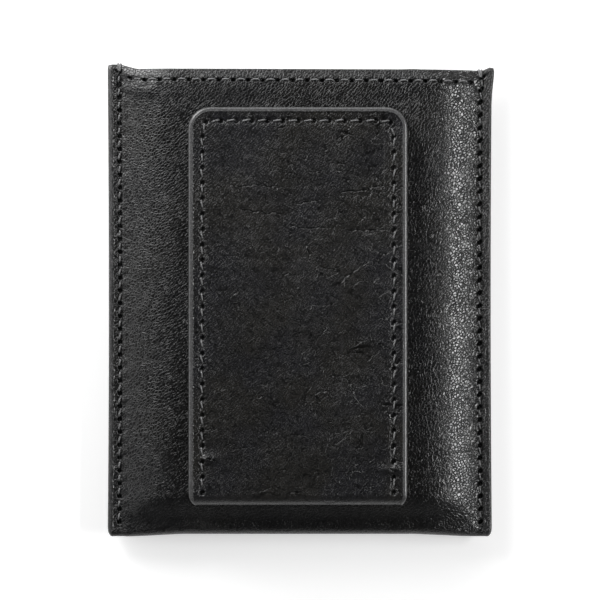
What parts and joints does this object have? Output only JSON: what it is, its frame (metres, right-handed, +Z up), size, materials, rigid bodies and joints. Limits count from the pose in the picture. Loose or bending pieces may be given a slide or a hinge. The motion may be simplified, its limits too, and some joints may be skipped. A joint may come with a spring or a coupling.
{
  "type": "money clip card case",
  "caption": "Slim leather front-pocket card case with an open-topped main pocket, stepped card slots and a folding magnetic money clip on its back.",
  "frame": {"origin": "under the middle of the case, on the surface that it lies on, card side down", "axes": "+Z up out of the clip side, +Y towards the mouth of the main pocket, +X to the right when looking down on the clip with the mouth at the top"},
  "size_m": [0.083, 0.1016, 0.0144],
  "materials": {
    "case_leather": "fine pebbled grain, satin",
    "clip_leather": "creased smooth grain, satin",
    "face_leather": "smooth, dull",
    "card_leather": "fine pebbled grain, satin",
    "lining_cloth": "plain weave",
    "filler_board": "bonded leather board",
    "magnet_plating": "nickel plate",
    "black_thread": "bonded polyester"
  },
  "bodies": {
    "case": {"outer_wrap": "case_leather", "back_lining": "lining_cloth", "front_lining": "lining_cloth", "left_seam_thread": "black_thread", "left_seam_bobbin_thread": "black_thread", "right_seam_thread": "black_thread", "right_seam_bobbin_thread": "black_thread", "back_hem_thread": "black_thread", "front_hem_thread": "black_thread", "card_panel_low": "card_leather", "card_pocket_thread": "black_thread", "card_strip_mid": "card_leather", "slot_cloth_mid": "lining_cloth", "mid_slot_tack_upper": "black_thread", "mid_slot_tack_lower": "black_thread", "card_strip_top": "card_leather", "slot_cloth_top": "lining_cloth", "top_slot_tack_upper": "black_thread", "top_slot_tack_lower": "black_thread", "clip_base_leather": "clip_leather", "clip_base_filler": "filler_board", "clip_base_magnet": "magnet_plating", "clip_base_face": "face_leather", "clip_base_thread": "black_thread", "clip_fold_leather": "clip_leather", "clip_fold_face": "face_leather"},
    "flap": {"clip_flap_leather": "clip_leather", "clip_flap_filler": "filler_board", "clip_flap_magnet": "magnet_plating", "clip_flap_face": "face_leather", "clip_flap_thread": "black_thread", "clip_flap_bobbin_thread": "black_thread"}
  },
  "joints": [
    {"name": "flap_hinge", "type": "hinge", "parent": "case", "child": "flap", "pos_m": [-0.0004, -0.04127, 0.01182], "axis": [1, 0, 0], "range_deg": [0, 120], "stiffness_Nm_per_rad": 0.004, "deforming": ["clip_fold_leather", "clip_fold_face"]}
  ]
}
